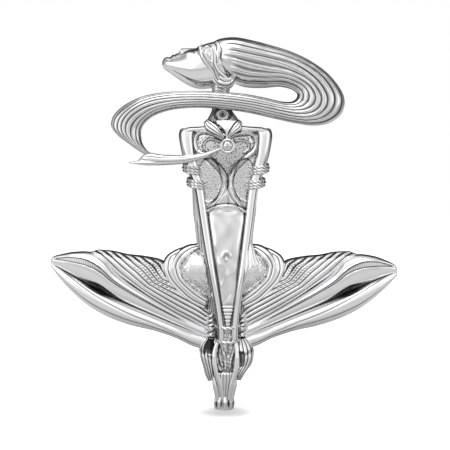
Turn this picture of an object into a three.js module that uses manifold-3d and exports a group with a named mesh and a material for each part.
// A car mascot: a nymph thrown back over her own streaming hair, her arms bound
// straight down in front of her, rising from a pair of folded wings.
// It is built up from separate castings and wires, seated on each other with a
// solder seam between them, and strung on a core rod, a cross pin and two dowels.
// Millimetres, +Z up. The figure's front faces -Y, and her left is at +X.
// The origin is the middle of the flat seat under the foot.
import * as THREE from "three";
import { mergeVertices } from "three/addons/utils/BufferGeometryUtils.js";
import Module from "manifold-3d";

const wasm = await Module();
wasm.setup();

// ---------------------------------------------------------------- driving sizes
const SEAM = 0.3; // gap between neighbouring castings, filled by solder
const SHOULDER_Z = 120.6; // height of the shoulder line
const WRIST_Z = 33.5; // height of the bound wrists
const HIP_Z = 57.5; // height of the hips' widest point
const CHEST_DEPTH = 7; // half the torso's depth at the chest
const BELLY_DEPTH = 6; // half the torso's depth at the belly
const SHOULDER_HALF = 16.6; // from the figure's axis to the middle of a shoulder
const HIP_REACH = 19.2; // from the figure's axis to the outside of a hip
const HIP_Y = 1.2; // how far the hips sit behind the arms' plane
const FOREARM_RADIUS = 1.8;
const NECK_RADIUS = 3.6;
const RIBBON_Y = -7.6; // where the hair ribbon passes in front of the neck
const RIBBON_DEPTH = 2.4; // half the hair ribbon's thickness there
const WING_REACH = 55.2; // from the outside of a hip to the tip of its wing
const WING_DEPTH = 5.5; // half a wing's thickness at its middle
const LEFT_TIP_DROP = 3.9; // how much lower the wing tip on +X hangs
const FOOT_RADIUS = 3.6;
const FOOT_HEIGHT = 6;
const FOOT_CHAMFER = 0.2;
const SOCKET_RADIUS = 1.65; // tapping size of the thread that takes the stud
const SOCKET_DEPTH = 8;
const BUSH_WALL = 0.75;
const CORE_ROD_RADIUS = 1.5;
const CROSS_PIN_RADIUS = 1.1;
const DOWEL_RADIUS = 0.9;
const ROPE_RADIUS = 0.85;
const ROPE_HALF = 5.4; // half the width of the rope hoops around the wrists
const SCROLL_RADIUS = 0.7; // half the width of the chest's raised wires
const MEDALLION_RADIUS = 2; // head of the rivet in the middle of the chest
const EYE_WALL = 0.9; // ring that the hair's end makes around that head

// The arms hang a little to the figure's left of the line through the foot.
const LEAN_AT_WRISTS = 1.6;
const LEAN_AT_SHOULDERS = 0.6;
const TORSO_X = 0.2; // the torso's own middle line
const NECK_X = -1.3;

function between(from, to, share) {
  return from + (to - from) * share;
}

function axisX(z) {
  const share = (z - WRIST_Z) / (SHOULDER_Z - WRIST_Z);
  return between(LEAN_AT_WRISTS, LEAN_AT_SHOULDERS, share);
}

// ---------------------------------------------------------------- solid makers
const UP = new THREE.Vector3(0, 0, 1);
const BACK = new THREE.Vector3(0, 1, 0);

// A closed three.js geometry as a solid that can be joined and cut.
function solidOf(geometry) {
  geometry.deleteAttribute("normal");
  geometry.deleteAttribute("uv");
  const merged = mergeVertices(geometry, 1e-4);
  return new wasm.Manifold(
    new wasm.Mesh({
      numProp: 3,
      vertProperties: merged.attributes.position.array,
      triVerts: new Uint32Array(merged.index.array),
    }),
  );
}

// A cylinder's skin carried to place(t, c, s): t runs along it from 0 to 1, and
// (c, s) is a point of the unit circle around it, or its middle at an end face.
function wrap(place, steps, sides) {
  const geometry = new THREE.CylinderGeometry(1, 1, 1, sides, steps);
  const position = geometry.attributes.position;
  for (let i = 0; i < position.count; i++) {
    const t = position.getY(i) + 0.5;
    const at = place(t, position.getX(i), position.getZ(i));
    position.setXYZ(i, at.x, at.y, at.z);
  }
  return solidOf(geometry);
}

// The same skin, turned so that it faces outwards whichever way its stations run.
function skin(place, steps, sides) {
  const made = wrap(place, steps, sides);
  return made.volume() < 0 ? wrap((t, c, s) => place(t, c, -s), steps, sides) : made;
}

function curveThrough(points) {
  return new THREE.CatmullRomCurve3(points.map((p) => new THREE.Vector3(...p)));
}

// A bar whose middle follows x, y, z of its stations, with their half width in the
// plane of the figure and half depth along Y.
function bar(stations, { steps = 10, sides = 8, grow = 0 } = {}) {
  const line = curveThrough(stations.map(([x, y, z]) => [x, y, z]));
  const size = curveThrough(stations.map(([, , , width, depth]) => [width, depth, 0]));
  return skin(
    (t, c, s) => {
      const along = line.getTangent(t);
      const across = along.clone().cross(BACK).normalize();
      const deep = across.clone().cross(along);
      const half = size.getPoint(t);
      return line
        .getPoint(t)
        .addScaledVector(along, grow * (2 * t - 1))
        .addScaledVector(across, c * (half.x + grow))
        .addScaledVector(deep, s * (half.y + grow));
    },
    steps,
    sides,
  );
}

// A blade between two edges: each station is one edge's x and z, the other edge's x
// and z, the middle's y and the half depth along Y.
function blade(stations, { steps = 14, sides = 10, grow = 0 } = {}) {
  const first = curveThrough(stations.map(([x, z, , , y]) => [x, y, z]));
  const second = curveThrough(stations.map(([, , x, z, y]) => [x, y, z]));
  const depth = curveThrough(stations.map((station) => [station[5], 0, 0]));
  return skin(
    (t, c, s) => {
      const from = first.getPoint(t);
      const to = second.getPoint(t);
      const reach = from.distanceTo(to) / 2 + grow;
      const across = from.clone().sub(to).normalize();
      return from
        .add(to)
        .multiplyScalar(0.5)
        .addScaledVector(across, c * reach)
        .addScaledVector(BACK, s * (depth.getPoint(t).x + grow))
        .addScaledVector(first.getTangent(t), grow * (2 * t - 1));
    },
    steps,
    sides,
  );
}

// A ring around a bundle that stands along Z, dipping at its front, its tube round.
function hoop(middle, halfX, halfY, dip, tube, grow = 0) {
  const geometry = new THREE.TorusGeometry(1, 0.5, 6, 16);
  const position = geometry.attributes.position;
  for (let i = 0; i < position.count; i++) {
    const x = position.getX(i);
    const y = position.getY(i);
    const around = Math.hypot(x, y);
    const out = ((around - 1) / 0.5) * (tube + grow);
    const up = (position.getZ(i) / 0.5) * (tube + grow);
    position.setXYZ(
      i,
      middle[0] + (x / around) * (halfX + out),
      middle[1] + (y / around) * (halfY + out),
      middle[2] + up + (y / around) * dip,
    );
  }
  return solidOf(geometry);
}

function egg(middle, radii, grow = 0, columns = 12, rows = 9) {
  const geometry = new THREE.SphereGeometry(1, columns, rows);
  geometry.scale(...radii.map((r) => r + grow));
  geometry.translate(...middle);
  return solidOf(geometry);
}

// A round rod from one point to another.
function rod(from, to, radius, grow = 0, sides = 12) {
  const start = new THREE.Vector3(...from);
  const end = new THREE.Vector3(...to);
  const length = start.distanceTo(end) + 2 * grow;
  const geometry = new THREE.CylinderGeometry(radius + grow, radius + grow, length, sides);
  const turn = new THREE.Quaternion().setFromUnitVectors(BACK, end.clone().sub(start).normalize());
  geometry.applyQuaternion(turn);
  geometry.translate(...start.add(end).multiplyScalar(0.5).toArray());
  return solidOf(geometry);
}

// ---------------------------------------------------------------- torso
const TORSO_BOTTOM = WRIST_Z - 4;
const TORSO_ROWS = [
  // height, half width, half depth
  [TORSO_BOTTOM, 4, 3.4],
  [between(TORSO_BOTTOM, HIP_Z, 0.55), HIP_REACH * 0.365, 5],
  [HIP_Z, HIP_REACH * 0.52, BELLY_DEPTH + 1],
  [between(HIP_Z, SHOULDER_Z, 0.23), 12.2, BELLY_DEPTH],
  [between(HIP_Z, SHOULDER_Z, 0.45), 13.4, BELLY_DEPTH - 0.6],
  [between(HIP_Z, SHOULDER_Z, 0.64), 14, CHEST_DEPTH - 0.8],
  [between(HIP_Z, SHOULDER_Z, 0.83), 14.8, CHEST_DEPTH],
  [SHOULDER_Z - 3, SHOULDER_HALF - 1.5, CHEST_DEPTH - 0.6],
  [SHOULDER_Z, SHOULDER_HALF - 2.2, CHEST_DEPTH - 2],
];
const torsoSizes = curveThrough(TORSO_ROWS.map(([z, width, depth]) => [width, depth, z]));

// Depth of the torso's front skin at a place on the figure, by its section's ellipse.
function frontY(x, z) {
  let low = 0;
  let high = 1;
  for (let i = 0; i < 24; i++) {
    const middle = (low + high) / 2;
    if (torsoSizes.getPoint(middle).z < z) low = middle;
    else high = middle;
  }
  const size = torsoSizes.getPoint(low);
  const share = Math.min(0.95, Math.abs(x - TORSO_X) / size.x);
  return -size.y * Math.sqrt(1 - share * share);
}

function torso(grow) {
  const stations = TORSO_ROWS.map(([z, width, depth]) => [TORSO_X, 0, z, width, depth]);
  return bar(stations, { steps: 12, sides: 14, grow });
}

function neck(grow) {
  const stations = [
    [TORSO_X, 0, SHOULDER_Z - 1, NECK_RADIUS + 1.4, NECK_RADIUS + 0.8],
    [NECK_X, 0, SHOULDER_Z + 8, NECK_RADIUS + 0.2, NECK_RADIUS],
    [NECK_X, 0, SHOULDER_Z + 14, NECK_RADIUS, NECK_RADIUS],
    [NECK_X, 0, SHOULDER_Z + 20.5, NECK_RADIUS + 0.4, NECK_RADIUS],
  ];
  return bar(stations, { steps: 6, sides: 12, grow });
}

function collar(grow) {
  const stations = [
    [TORSO_X - 0.5, 0, SHOULDER_Z + 0.4, 7.8, CHEST_DEPTH - 1],
    [TORSO_X - 0.8, 0, SHOULDER_Z + 3, 7.6, CHEST_DEPTH - 1.4],
    [NECK_X, 0, SHOULDER_Z + 8.6, NECK_RADIUS + 1, NECK_RADIUS + 1],
  ];
  return bar(stations, { steps: 4, sides: 12, grow });
}

// The pointed bib that hangs from the collar onto the chest.
function collarBib(grow) {
  const top = SHOULDER_Z + 2.6;
  const point = SHOULDER_Z - 4.2;
  const middle = axisX(SHOULDER_Z);
  const stations = [
    [middle - 7, top, middle + 7, top, -CHEST_DEPTH + 0.7, 1.1],
    [middle - 5, top - 3, middle + 5, top - 3, -CHEST_DEPTH - 0.1, 1.1],
    [middle - 0.5, point, middle + 0.5, point, -CHEST_DEPTH - 0.8, 0.8],
  ];
  return blade(stations, { steps: 5, sides: 8, grow });
}

// One of the two wires that make the hourglass on the chest: in from the shoulder,
// waisted over the breastbone, and out again to the arch of the ribs.
function chestScroll(side, grow) {
  const outline = [
    [1.2, SHOULDER_Z - 7],
    [4.5, SHOULDER_Z - 4.6],
    [8.6, SHOULDER_Z - 5.5],
    [9.2, SHOULDER_Z - 10],
    [5.6, SHOULDER_Z - 16.5],
    [1.5, SHOULDER_Z - 24],
    [3.4, SHOULDER_Z - 29],
    [6.8, SHOULDER_Z - 33.5],
  ];
  const stations = outline.map(([x, z]) => {
    const at = axisX(z) + side * x;
    return [at, frontY(at, z) - SCROLL_RADIUS * 0.6, z, SCROLL_RADIUS, SCROLL_RADIUS];
  });
  return bar(stations, { steps: 12, sides: 6, grow });
}

// The wire arch under the ribs that closes the hourglass above the belly.
function ribArch(grow) {
  const foot = SHOULDER_Z - 33.2;
  const stations = [-5.6, -2.8, 0, 2.8, 5.6].map((x) => {
    const z = foot + 1.3 * (1 - (x / 5.6) ** 2);
    const at = axisX(z) + x;
    return [at, frontY(at, z) - SCROLL_RADIUS * 0.6, z, SCROLL_RADIUS * 0.9, SCROLL_RADIUS];
  });
  return bar(stations, { steps: 8, sides: 6, grow });
}

const MEDALLION = [axisX(SHOULDER_Z) + 0.9, SHOULDER_Z - 7.6];
const MEDALLION_Y = -CHEST_DEPTH - 2.4;

// The rivet whose head is the medallion and whose shank pins the hair's end to the chest.
function medallionRivet(grow) {
  const [x, z] = MEDALLION;
  const head = rod([x, MEDALLION_Y - 1, z], [x, MEDALLION_Y + 1, z], MEDALLION_RADIUS, grow, 16);
  const shank = rod([x, MEDALLION_Y, z], [x, -CHEST_DEPTH + 4, z], DOWEL_RADIUS, grow);
  return head.add(shank);
}

function bellyPlate(grow) {
  const rows = [
    [SHOULDER_Z - 35, 5.4],
    [SHOULDER_Z - 40, 6.6],
    [between(HIP_Z, SHOULDER_Z, 0.22), 5.6],
    [HIP_Z, 4],
    [WRIST_Z + 12, 2.4],
    [WRIST_Z + 6, 1.4],
  ];
  const stations = rows.map(([z, width]) => [axisX(z), frontY(axisX(z), z), z, width, 1.2]);
  return bar(stations, { steps: 8, sides: 8, grow });
}

// ---------------------------------------------------------------- arms
// Half width and depth of an arm at its stations, from the shoulder to the wrist.
const ARM_ROWS = [
  // height, distance from the axis, y, half width, half depth
  [SHOULDER_Z - 0.2, SHOULDER_HALF - 0.4, -0.6, 3, 4.4],
  [SHOULDER_Z - 3, SHOULDER_HALF, -0.8, 3.1, 4.6],
  [SHOULDER_Z - 13, SHOULDER_HALF - 1.5, -2, 2.6, 3.8],
  [SHOULDER_Z - 20, SHOULDER_HALF - 3.5, -3.4, 2.1, 2.8],
  [SHOULDER_Z - 26, SHOULDER_HALF - 5.2, -4.4, FOREARM_RADIUS, FOREARM_RADIUS],
  [between(WRIST_Z, SHOULDER_Z, 0.51), 9.2, -5.8, FOREARM_RADIUS, FOREARM_RADIUS],
  [between(WRIST_Z, SHOULDER_Z, 0.31), 6.6, -8, FOREARM_RADIUS, FOREARM_RADIUS],
  [between(WRIST_Z, SHOULDER_Z, 0.16), 4.3, -7.2, FOREARM_RADIUS, FOREARM_RADIUS],
  [WRIST_Z, 2.6, -5.2, FOREARM_RADIUS, FOREARM_RADIUS],
];

function arm(side, grow) {
  const stations = ARM_ROWS.map(([z, out, y, width, depth]) => [
    axisX(z) + side * out,
    y,
    z,
    width,
    depth,
  ]);
  return bar(stations, { steps: 12, sides: 8, grow });
}

// A rope turn around an arm, at a height below the shoulder.
function armBand(side, below, grow) {
  const z = SHOULDER_Z - below;
  const out = SHOULDER_HALF - 1.5 - (below - 13) * 0.28;
  const y = -2 - (below - 13) * 0.19;
  const middle = [axisX(z) + side * out, y, z];
  return hoop(middle, 3.3, 4.4, -0.5, ROPE_RADIUS + 0.35, grow);
}

// ---------------------------------------------------------------- wrists
const BUNDLE = [axisX(WRIST_Z) - 0.2, -1.6];

function wristRope(above, grow) {
  const middle = [BUNDLE[0], BUNDLE[1], WRIST_Z + above];
  return hoop(middle, ROPE_HALF, 6.2, 0.8, ROPE_RADIUS, grow);
}

function ropeKnot(side, grow) {
  const middle = [BUNDLE[0] + side * (ROPE_HALF + 0.9), -2.8, WRIST_Z + 3];
  return egg(middle, [1.9, 2.8, 4.8], grow, 10, 8);
}

// ---------------------------------------------------------------- hips and wings
// How far out something lies on a hip or a wing. A place runs from 0 at the side of the
// wrists' rope to 1 at the outside of the hip, and on to 2 at the wing's reach.
function outTo(place) {
  return place < 1
    ? between(ROPE_HALF, HIP_REACH, place)
    : between(HIP_REACH, HIP_REACH + WING_REACH, place - 1);
}

// A hip and the two hoops that frame it, from the top round to the wrists: the outer
// edge's place and height over the hip's middle, the inner edge's, and the half depth.
const HIP_DOME = [
  [0.522, 12.5, 0.261, 12.1, 3],
  [0.826, 8.9, -0.029, 8.5, 6.6],
  [0.957, 5.5, -0.145, 5.5, 8.6],
  [0.971, 2.5, -0.174, 2.5, 9],
  [0.899, -0.7, -0.188, -1.5, 8.8],
  [0.696, -3.7, -0.203, -4.9, 7.6],
  [0.42, -7.1, -0.174, -7.9, 6],
  [0.101, -10.1, -0.058, -10.9, 3.8],
];
const INNER_RING = [
  [0.551, 13.7, 0.493, 12.1, 5],
  [1.004, 11.3, 0.797, 8.5, 6.6],
  [1.058, 7, 0.942, 5.5, 7.4],
  [1.065, 3.1, 0.957, 2.4, 7.6],
  [1.034, -1.2, 0.877, -0.7, 7.8],
  [0.884, -5.5, 0.681, -3.6, 8],
  [0.572, -9.3, 0.406, -6.9, 7.8],
  [0.116, -12.5, 0.08, -9.9, 7],
];
const OUTER_RING = [
  [1.025, 10.7, 0.986, 9.2, 4],
  [1.096, 8.3, 1.047, 6.9, 5.4],
  [1.127, 5.5, 1.051, 5, 6.4],
  [1.123, 1.8, 1.051, 2.3, 6.8],
  [1.089, -2, 1.02, -1.4, 6.6],
  [1.018, -6.3, 0.841, -4.8, 6.4],
  [0.732, -10.6, 0.551, -8.5, 6],
  [0.145, -14.9, 0.101, -12, 5.2],
];

function hipPart(rows, side, grow, sides) {
  const stations = rows.map(([ax, az, bx, bz, depth]) => [
    side * outTo(ax),
    HIP_Z + az,
    side * outTo(bx),
    HIP_Z + bz,
    HIP_Y,
    depth,
  ]);
  return blade(stations, { steps: 9, sides, grow });
}

// Edge points of a wing, out from its root: place and height of the upper edge, place
// and height of the lower edge, y of the middle, and half depth as a share of the wing's.
// Heights are over the hip's middle.
const FAN_EDGES = [
  [0.072, -17.3, 0.087, -23.9, 0, 0.5],
  [0.666, -9.5, 1.022, -15.9, 0, 0.8],
  [1.007, -3.9, 1.207, -9.9, 0, 0.95],
  [1.062, 2.1, 1.362, -4.1, 0.2, 0.95],
  [1.098, 7.3, 1.493, 1.7, 0.5, 0.85],
  [1.313, 8.9, 1.594, 7.1, 0.8, 0.7],
  [1.495, 10.9, 1.658, 9.3, 1, 0.5],
  [1.63, 11.5, 1.71, 10.3, 1, 0.25],
];
const PETAL_EDGES = [
  [0.072, -22.7, 0.101, -27.5, -0.4, 0.55],
  [1.034, -14.9, 1.051, -20.8, -0.6, 0.8],
  [1.214, -8.9, 1.241, -16.2, -0.5, 1],
  [1.37, -3.3, 1.404, -12.2, -0.3, 1.05],
  [1.502, 2.3, 1.551, -8.5, 0, 1.05],
  [1.621, 8.5, 1.694, -4.5, 0.3, 1],
  [1.748, 10.5, 1.803, -0.9, 0.5, 0.9],
  [1.875, 9.8, 1.906, 2.5, 0.7, 0.65],
  [1.986, 6.9, 1.993, 5.1, 0.9, 0.3],
];
const KEEL_EDGES = [
  [0.117, -24.5, 0.304, -32.5, -0.6, 0.5],
  [0.95, -20.5, 0.957, -27.9, -0.4, 0.8],
  [1.168, -16.1, 1.159, -24.3, 0, 0.95],
  [1.341, -11.9, 1.346, -21.8, 0.3, 1],
  [1.514, -7.6, 1.556, -17.9, 0.5, 1],
  [1.663, -3.5, 1.736, -11.9, 0.7, 0.9],
  [1.784, 0.4, 1.859, -6.1, 0.9, 0.75],
  [1.899, 4.1, 1.946, -0.5, 1, 0.55],
  [1.991, 6.5, 2, 3.9, 1.1, 0.25],
];

// A wing's blade on one side. The tip on +X hangs lower.
function wingBlade(edges, side, grow, detail) {
  const stations = edges.map(([upper, upperZ, lower, lowerZ, y, share]) => {
    const drop = (place) => (side > 0 ? LEFT_TIP_DROP * (place / 2) ** 4 : 0);
    return [
      side * outTo(upper),
      HIP_Z + upperZ - drop(upper),
      side * outTo(lower),
      HIP_Z + lowerZ - drop(lower),
      y,
      WING_DEPTH * share,
    ];
  });
  return blade(stations, { ...detail, grow });
}

// ---------------------------------------------------------------- hair
// Edge points along the hair's flow: the edge on the outside of its first bend (x, and
// height over the shoulders), the edge on the inside, the middle's y and the half depth.
const CROWN_EDGES = [
  [-6, 38.8, -1.5, 20.9, 0, 9.6],
  [1.5, 39.4, 4, 19.2, 0, 10],
  [10, 38.3, 9.5, 17.8, -0.2, 8.6],
  [18.7, 36.3, 18.4, 17.9, -0.6, 6.4],
  [29, 33.1, 24.2, 18, -1.4, 5],
  [37.6, 29, 28, 17, -2.2, 4.4],
  [45.4, 23, 30.4, 15.6, -3.2, 4],
  [50.6, 15.4, 31.1, 14.2, -4.2, 3.8],
];
const TAIL_Y = RIBBON_Y - 3.4; // where the hair comes back across the chest
const RIBBON_EDGES = [
  [50.9, 14.2, 31.1, 13.8, -4.6, 3.7],
  [50.4, 8, 30.6, 13.3, -5, 3.5],
  [46.6, 3.5, 29.4, 12.8, -5.6, 3.3],
  [40.2, 1.6, 27.6, 12.4, -6.2, 3],
  [32.4, 1.8, 24.2, 12.2, -6.8, 2.8],
  [21.7, 4, 19.5, 12.9, RIBBON_Y + 0.3, RIBBON_DEPTH],
  [11, 6.7, 10, 14.5, RIBBON_Y, RIBBON_DEPTH],
  [0.2, 8.4, 0.2, 15.6, RIBBON_Y, RIBBON_DEPTH],
  [-10.5, 8.9, -10.5, 15.9, RIBBON_Y, RIBBON_DEPTH],
  [-20.9, 8.4, -23.4, 15.7, RIBBON_Y, RIBBON_DEPTH],
  [-28.6, 6.4, -32.9, 14.4, RIBBON_Y - 0.2, RIBBON_DEPTH],
  [-33.1, 4.1, -40.6, 11.2, RIBBON_Y - 0.4, RIBBON_DEPTH],
  [-35.3, 1.1, -47.3, 5.8, RIBBON_Y - 0.8, RIBBON_DEPTH],
  [-35.4, -1.9, -47.9, 1.4, RIBBON_Y - 1.2, RIBBON_DEPTH],
  [-34.4, -5.8, -44, -3.8, RIBBON_Y - 1.8, RIBBON_DEPTH - 0.2],
  [-32.6, -8.4, -36.8, -8.8, RIBBON_Y - 2.6, RIBBON_DEPTH - 0.5],
  [-29.6, -10.6, -31, -12.2, TAIL_Y, RIBBON_DEPTH - 0.8],
];
const TAIL_EDGES = [
  [-32, -10.2, -32, -15.6, TAIL_Y, 1.5],
  [-27, -11, -27, -15.5, TAIL_Y, 1.6],
  [-18, -11.3, -17, -14.9, TAIL_Y, 1.5],
  [-9.8, -10.8, -8.6, -12.7, TAIL_Y + 0.2, 1.2],
  [-4.6, -9.4, -4.2, -10.6, TAIL_Y + 0.6, 1],
  [-0.8, -8, -0.6, -9, MEDALLION_Y, 0.9],
];
const TIP_EDGES = [
  [-30.6, -13.6, -30.6, -15.1, TAIL_Y, 1],
  [-34, -13.6, -34, -15.4, TAIL_Y, 1],
  [-37, -13.8, -37, -15.1, TAIL_Y, 0.7],
  [-40, -14.3, -40, -14.7, TAIL_Y, 0.3],
];

// A blade whose heights are given over the shoulders.
function lockOfHair(edges, grow, detail) {
  const stations = edges.map(([ax, az, bx, bz, y, depth]) => [
    ax,
    SHOULDER_Z + az,
    bx,
    SHOULDER_Z + bz,
    y,
    depth,
  ]);
  return blade(stations, { ...detail, grow });
}

function hairTail(grow) {
  const lock = lockOfHair(TAIL_EDGES, grow, { steps: 14, sides: 8 });
  const [x, z] = MEDALLION;
  const front = [x, MEDALLION_Y - 0.7, z];
  const back = [x, MEDALLION_Y + 0.7, z];
  const eye = rod(front, back, MEDALLION_RADIUS + SEAM + EYE_WALL, grow, 16);
  return lock.add(eye);
}

// ---------------------------------------------------------------- head
// The head lies back: the edge on the face's side and the edge on the throat's side,
// from the chin to the back of the skull.
const HEAD_EDGES = [
  [-27.2, 31, -26.4, 28.4, 0, 2.2],
  [-23.4, 33.6, -21.4, 25.4, 0, 4.8],
  [-18, 36.2, -15.6, 21.4, 0, 6.4],
  [-11.6, 37.8, -9.6, 19.6, 0, 7.4],
  [-5.2, 38, -4, 20.4, 0, 7.8],
  [1.4, 36.8, 1.2, 22, 0, 7],
  [6.4, 33, 5.4, 26.4, 0, 3.6],
];

function earLock(side, grow) {
  const y = side * 8.8;
  const stations = [
    [-7.4, y, SHOULDER_Z + 34, 1.9, 0.7],
    [-7.6, y, SHOULDER_Z + 30, 2.1, 0.9],
    [-5.6, y, SHOULDER_Z + 25.6, 1.5, 0.8],
    [-2.2, y * 0.84, SHOULDER_Z + 21.8, 1.2, 0.8],
    [0.8, y * 0.66, SHOULDER_Z + 19.4, 1, 0.7],
  ];
  return bar(stations, { steps: 8, sides: 6, grow });
}

// ---------------------------------------------------------------- hands, legs and foot
function hand(side, grow) {
  const middle = LEAN_AT_WRISTS * 0.5;
  const edges = [
    [3.6, -2.9, 8.2, -3.3, -1.8, 2.6],
    [4.4, -6.1, 12.2, -6.5, -2.2, 3],
    [4.6, -11.5, 11.6, -11.9, -2.6, 3],
    [4.6, -16.1, 9.4, -16.9, -3, 2.4],
    [4.4, -18.9, 7.4, -19.9, -3, 1.6],
    [4.8, -21.1, 5.9, -21.3, -3, 0.8],
  ];
  const stations = edges.map(([a, az, b, bz, y, depth]) => [
    middle + side * a,
    WRIST_Z + az,
    middle + side * b,
    WRIST_Z + bz,
    y,
    depth,
  ]);
  return blade(stations, { steps: 8, sides: 8, grow });
}

function tailSheath(grow) {
  const stations = [
    [LEAN_AT_WRISTS * 0.6, 0, TORSO_BOTTOM + 1.2, 4.9, 4.4],
    [LEAN_AT_WRISTS * 0.5, 0, between(FOOT_HEIGHT, TORSO_BOTTOM, 0.64), 5.3, 4.8],
    [LEAN_AT_WRISTS * 0.2, 0, between(FOOT_HEIGHT, TORSO_BOTTOM, 0.34), 5.3, 4.6],
    [0, 0, between(FOOT_HEIGHT, TORSO_BOTTOM, 0.17), FOOT_RADIUS + 1.2, FOOT_RADIUS + 0.7],
    [0, 0, FOOT_HEIGHT - 1, FOOT_RADIUS - 0.2, FOOT_RADIUS - 0.2],
  ];
  return bar(stations, { steps: 8, sides: 12, grow });
}

function leg(side, grow) {
  const rows = [
    [0.92, 3.9, -3.4],
    [0.68, 4.9, -3.6],
    [0.36, 3.2, -3.8],
    [0.15, 2.4, -3.4],
    [0.05, 2, -3.1],
  ];
  const stations = rows.map(([share, x, y]) => [
    LEAN_AT_WRISTS * 0.4 + side * x,
    y,
    between(FOOT_HEIGHT, TORSO_BOTTOM, share),
    1,
    1,
  ]);
  return bar(stations, { steps: 8, sides: 6, grow });
}

function foot(grow) {
  const outline = [
    new THREE.Vector2(0, -grow),
    new THREE.Vector2(FOOT_RADIUS - FOOT_CHAMFER + grow, -grow),
    new THREE.Vector2(FOOT_RADIUS + grow, FOOT_CHAMFER),
    new THREE.Vector2(FOOT_RADIUS + grow, FOOT_HEIGHT + grow),
    new THREE.Vector2(0, FOOT_HEIGHT + grow),
  ];
  const geometry = new THREE.LatheGeometry(outline, 16);
  geometry.rotateX(Math.PI / 2);
  return solidOf(geometry);
}

// The threaded bush let into the foot and the end of the tail, open at the seat.
const BUSH_RADIUS = SOCKET_RADIUS + BUSH_WALL;

function socketBush(grow) {
  const body = rod([0, 0, 0.2], [0, 0, SOCKET_DEPTH + 1], BUSH_RADIUS, grow, 20);
  if (grow > 0) return body;
  return body.subtract(rod([0, 0, -1], [0, 0, SOCKET_DEPTH], SOCKET_RADIUS, 0, 20));
}

// What the stud needs clear below the bush, out through the seat.
function socketMouth() {
  return rod([0, 0, -1], [0, 0, 0.4], BUSH_RADIUS + SEAM, 0, 20);
}

// ---------------------------------------------------------------- inner fixings
function coreRod(grow) {
  const bottom = [0, 0, SOCKET_DEPTH + 1 + SEAM];
  return rod(bottom, [NECK_X, 0, SHOULDER_Z + 26], CORE_ROD_RADIUS, grow);
}

function crossPin(grow) {
  const z = WRIST_Z + 5.4;
  const reach = outTo(0.62);
  const y = CORE_ROD_RADIUS + CROSS_PIN_RADIUS + SEAM;
  return rod([axisX(z) - reach, y, z], [axisX(z) + reach, y, z], CROSS_PIN_RADIUS, grow);
}

function ribbonDowel(grow) {
  const z = SHOULDER_Z + 12;
  const back = -(CORE_ROD_RADIUS + SEAM);
  return rod([NECK_X, RIBBON_Y + 0.4, z], [NECK_X, back, z], DOWEL_RADIUS, grow);
}

// ---------------------------------------------------------------- finishes
const metal = (color, roughness) =>
  new THREE.MeshStandardMaterial({ color, roughness, metalness: 1 });
const polished = metal("#dcdee0", 0.1);
const chased = metal("#c2c5c8", 0.28);
const stippled = metal("#a9adb0", 0.45);
const brass = metal("#b08d4a", 0.35);
const steel = metal("#8c9094", 0.4);

// ---------------------------------------------------------------- assembly
const LEFT = 1;
const RIGHT = -1;
const SIDES = [
  ["left", LEFT],
  ["right", RIGHT],
];
const flowing = (edges, detail) => (grow) => lockOfHair(edges, grow, detail);
const bothSides = (name, finish, make) =>
  SIDES.map(([word, side]) => [`${name}_${word}`, finish, (grow) => make(side, grow)]);

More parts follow.
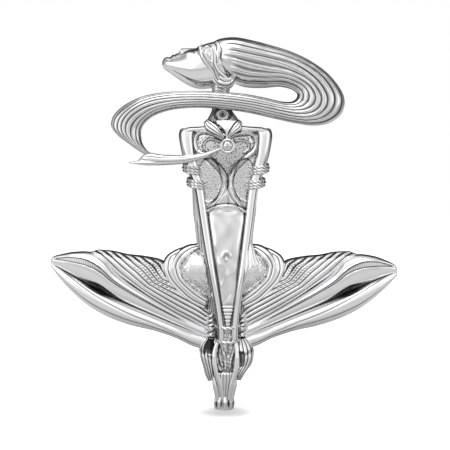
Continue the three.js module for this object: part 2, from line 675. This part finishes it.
// Every piece, the ones that keep their whole shape first: a piece gives way, by a
// seam, to each piece above it in this list.
const PIECES = [
  ["core_rod", steel, coreRod],
  ["socket_bush", brass, socketBush],
  ["cross_pin", steel, crossPin],
  ["ribbon_dowel", steel, ribbonDowel],
  ["medallion_rivet", stippled, medallionRivet],
  ["hair_tail", chased, hairTail],
  ["hair_tip", chased, flowing(TIP_EDGES, { steps: 6, sides: 6 })],
  ["hair_ribbon", chased, flowing(RIBBON_EDGES, { steps: 28, sides: 8 })],
  ["head", polished, flowing(HEAD_EDGES, { steps: 12, sides: 12 })],
  ...bothSides("ear_lock", chased, earLock),
  ["neck", polished, neck],
  ["hair_crown", chased, flowing(CROWN_EDGES, { steps: 14, sides: 10 })],
  ["wrist_rope_upper", chased, (grow) => wristRope(3.2, grow)],
  ["wrist_rope_lower", chased, (grow) => wristRope(-2.6, grow)],
  ...bothSides("arm_band_upper", chased, (side, grow) => armBand(side, 16.5, grow)),
  ...bothSides("arm_band_lower", chased, (side, grow) => armBand(side, 22.5, grow)),
  ...bothSides("arm", polished, arm),
  ...bothSides("rope_knot", chased, ropeKnot),
  ["collar_bib", polished, collarBib],
  ...bothSides("chest_scroll", polished, chestScroll),
  ["rib_arch", polished, ribArch],
  ["belly_plate", polished, bellyPlate],
  ["torso", stippled, torso],
  ["collar", chased, collar],
  ["foot", polished, foot],
  ...bothSides("leg", polished, leg),
  ...bothSides("hand", chased, hand),
  ["tail_sheath", chased, tailSheath],
  ...bothSides("hip", stippled, (side, grow) => hipPart(HIP_DOME, side, grow, 12)),
  ...bothSides("hip_ring_inner", polished, (side, grow) => hipPart(INNER_RING, side, grow, 6)),
  ...bothSides("hip_ring_outer", polished, (side, grow) => hipPart(OUTER_RING, side, grow, 6)),
  ...bothSides("wing_petal", polished, (side, grow) =>
    wingBlade(PETAL_EDGES, side, grow, { steps: 10, sides: 8 }),
  ),
  ...bothSides("wing_fan", chased, (side, grow) =>
    wingBlade(FAN_EDGES, side, grow, { steps: 9, sides: 8 }),
  ),
  ...bothSides("wing_keel", polished, (side, grow) =>
    wingBlade(KEEL_EDGES, side, grow, { steps: 10, sides: 8 }),
  ),
];

function meshOf(name, finish, solid) {
  const cut = solid.getMesh();
  const position = new Float32Array(cut.numVert * 3);
  for (let i = 0; i < cut.numVert; i++)
    position.set(cut.vertProperties.subarray(i * cut.numProp, i * cut.numProp + 3), i * 3);
  const geometry = new THREE.BufferGeometry();
  geometry.setAttribute("position", new THREE.BufferAttribute(position, 3));
  geometry.setIndex(new THREE.BufferAttribute(cut.triVerts, 1));
  geometry.computeVertexNormals();
  const mesh = new THREE.Mesh(geometry, finish);
  mesh.name = name;
  return mesh;
}

const mascot = new THREE.Group();
const kept = [];
for (const [name, finish, make] of PIECES) {
  let solid = make(0);
  for (const grown of kept) solid = solid.subtract(grown);
  if (name === "foot") solid = solid.subtract(socketMouth());
  mascot.add(meshOf(name, finish, solid));
  kept.push(make(SEAM));
}

export default mascot;
